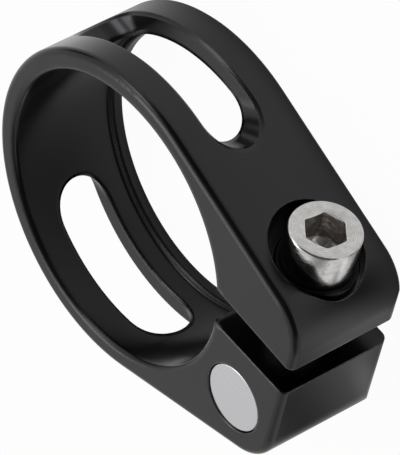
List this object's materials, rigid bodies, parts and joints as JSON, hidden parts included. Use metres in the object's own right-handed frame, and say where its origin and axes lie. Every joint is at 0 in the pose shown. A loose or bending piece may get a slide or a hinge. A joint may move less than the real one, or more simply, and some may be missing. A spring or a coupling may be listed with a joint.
{
  "type": "seatpost clamp",
  "caption": "Bolt-on bicycle seatpost clamp: a split aluminium ring with window slots and an inner lip, closed by a socket head bolt in a barrel nut across its ears.",
  "frame": {"origin": "Centre of the seatpost hole, on the outer face of the lip, on which the clamp rests.", "axes": "+Z along the bore, from the lip to the mouth that goes over the seat tube. +X from the bore to the ears. +Y along the bolt, towards its head."},
  "size_m": [0.0452, 0.0366, 0.0137],
  "materials": {
    "anodised_aluminium": "satin black anodised, turned and milled",
    "stainless_bolt": "bare stainless steel, cold headed, socket slightly worn",
    "steel_washer": "black oxide steel, stamped",
    "steel_nut": "bare stainless steel, faced on a lathe"
  },
  "bodies": {
    "ring": {"clamp_ring": "anodised_aluminium"},
    "nut": {"barrel_nut": "steel_nut"},
    "washer": {"head_washer": "steel_washer"},
    "bolt": {"clamp_bolt": "stainless_bolt"}
  },
  "joints": [
    {"name": "nut_swivel", "type": "hinge", "parent": "ring", "child": "nut", "pos_m": [0.02095, -0.00585, 0.00685], "axis": [0, 0, 1], "range_deg": [-0.5, 1.3]},
    {"name": "bolt_travel", "type": "slide", "parent": "nut", "child": "washer", "axis": [0, 1, 0], "range_m": [0, 0.0048]},
    {"name": "bolt_turn", "type": "hinge", "parent": "washer", "child": "bolt", "pos_m": [0.02095, 0.01117, 0.00685], "axis": [0, 1, 0], "range_deg": [0, 2160]}
  ],
  "couplings": [
    {"joint": "bolt_turn", "follows": "bolt_travel", "rad_per_m": 7854}
  ]
}
